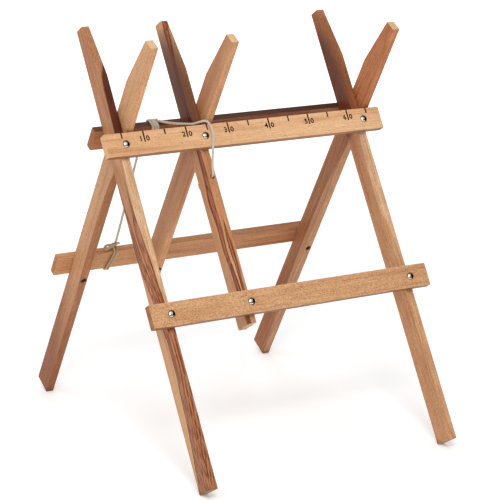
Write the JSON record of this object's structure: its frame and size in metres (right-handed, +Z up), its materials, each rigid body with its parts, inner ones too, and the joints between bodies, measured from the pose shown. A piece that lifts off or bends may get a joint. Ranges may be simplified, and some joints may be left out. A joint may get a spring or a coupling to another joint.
{
  "type": "folding sawhorse",
  "caption": "Folding wooden sawhorse: crossed legs bolted to long rails and hinged to fold flat, with a centimetre scale on the upper front rail and a cord that ties a log down.",
  "frame": {"origin": "on the floor, at the centre of the outline's bottom, midway between the two frames' feet", "axes": "+Z up, +X along the rails and the pivot line with the scale reading up towards +X, the front frame's feet and the scale at -Y"},
  "size_m": [0.6942, 0.8246, 0.8701],
  "materials": {
    "leg_wood": "planed beech, thin satin varnish",
    "rail_wood": "planed beech, thin satin varnish",
    "bolt_steel": "bright zinc plated, polished domed heads",
    "nut_steel": "zinc plated",
    "cord": "twisted cord, matt"
  },
  "bodies": {
    "front_frame": {"bolt_front_lower_left": "bolt_steel", "bolt_front_lower_middle": "bolt_steel", "bolt_front_lower_right": "bolt_steel", "bolt_front_upper_left": "bolt_steel", "bolt_front_upper_middle": "bolt_steel", "bolt_front_upper_right": "bolt_steel", "cord_front": "cord", "cord_stop_knot": "cord", "leg_front_left": "leg_wood", "leg_front_middle": "leg_wood", "leg_front_right": "leg_wood", "nut_front_lower_left": "nut_steel", "nut_front_lower_middle": "nut_steel", "nut_front_lower_right": "nut_steel", "nut_front_upper_left": "nut_steel", "nut_front_upper_middle": "nut_steel", "nut_front_upper_right": "nut_steel", "pivot_bolt_left": "bolt_steel", "pivot_bolt_middle": "bolt_steel", "pivot_bolt_right": "bolt_steel", "pivot_insert_left": "nut_steel", "pivot_insert_middle": "nut_steel", "pivot_insert_right": "nut_steel", "pivot_spacer_left": "nut_steel", "pivot_spacer_middle": "nut_steel", "pivot_spacer_right": "nut_steel", "pivot_washer_left": "nut_steel", "pivot_washer_middle": "nut_steel", "pivot_washer_right": "nut_steel", "rail_front_lower": "rail_wood", "rail_front_upper": "rail_wood"},
    "rear_frame": {"bolt_rear_lower_left": "bolt_steel", "bolt_rear_lower_middle": "bolt_steel", "bolt_rear_lower_right": "bolt_steel", "bolt_rear_upper_left": "bolt_steel", "bolt_rear_upper_middle": "bolt_steel", "bolt_rear_upper_right": "bolt_steel", "cord_crossing": "cord", "cord_hitch": "cord", "cord_rear": "cord", "cord_turns": "cord", "leg_rear_left": "leg_wood", "leg_rear_middle": "leg_wood", "leg_rear_right": "leg_wood", "nut_rear_lower_left": "nut_steel", "nut_rear_lower_middle": "nut_steel", "nut_rear_lower_right": "nut_steel", "nut_rear_upper_left": "nut_steel", "nut_rear_upper_middle": "nut_steel", "nut_rear_upper_right": "nut_steel", "rail_rear_lower": "rail_wood", "rail_rear_upper": "rail_wood"}
  },
  "joints": [
    {"name": "fold", "type": "hinge", "parent": "front_frame", "child": "rear_frame", "pos_m": [0, 0, 0.66377], "axis": [-1, 0, 0], "range_deg": [0, 61.5], "deforming": ["cord_crossing"]}
  ]
}
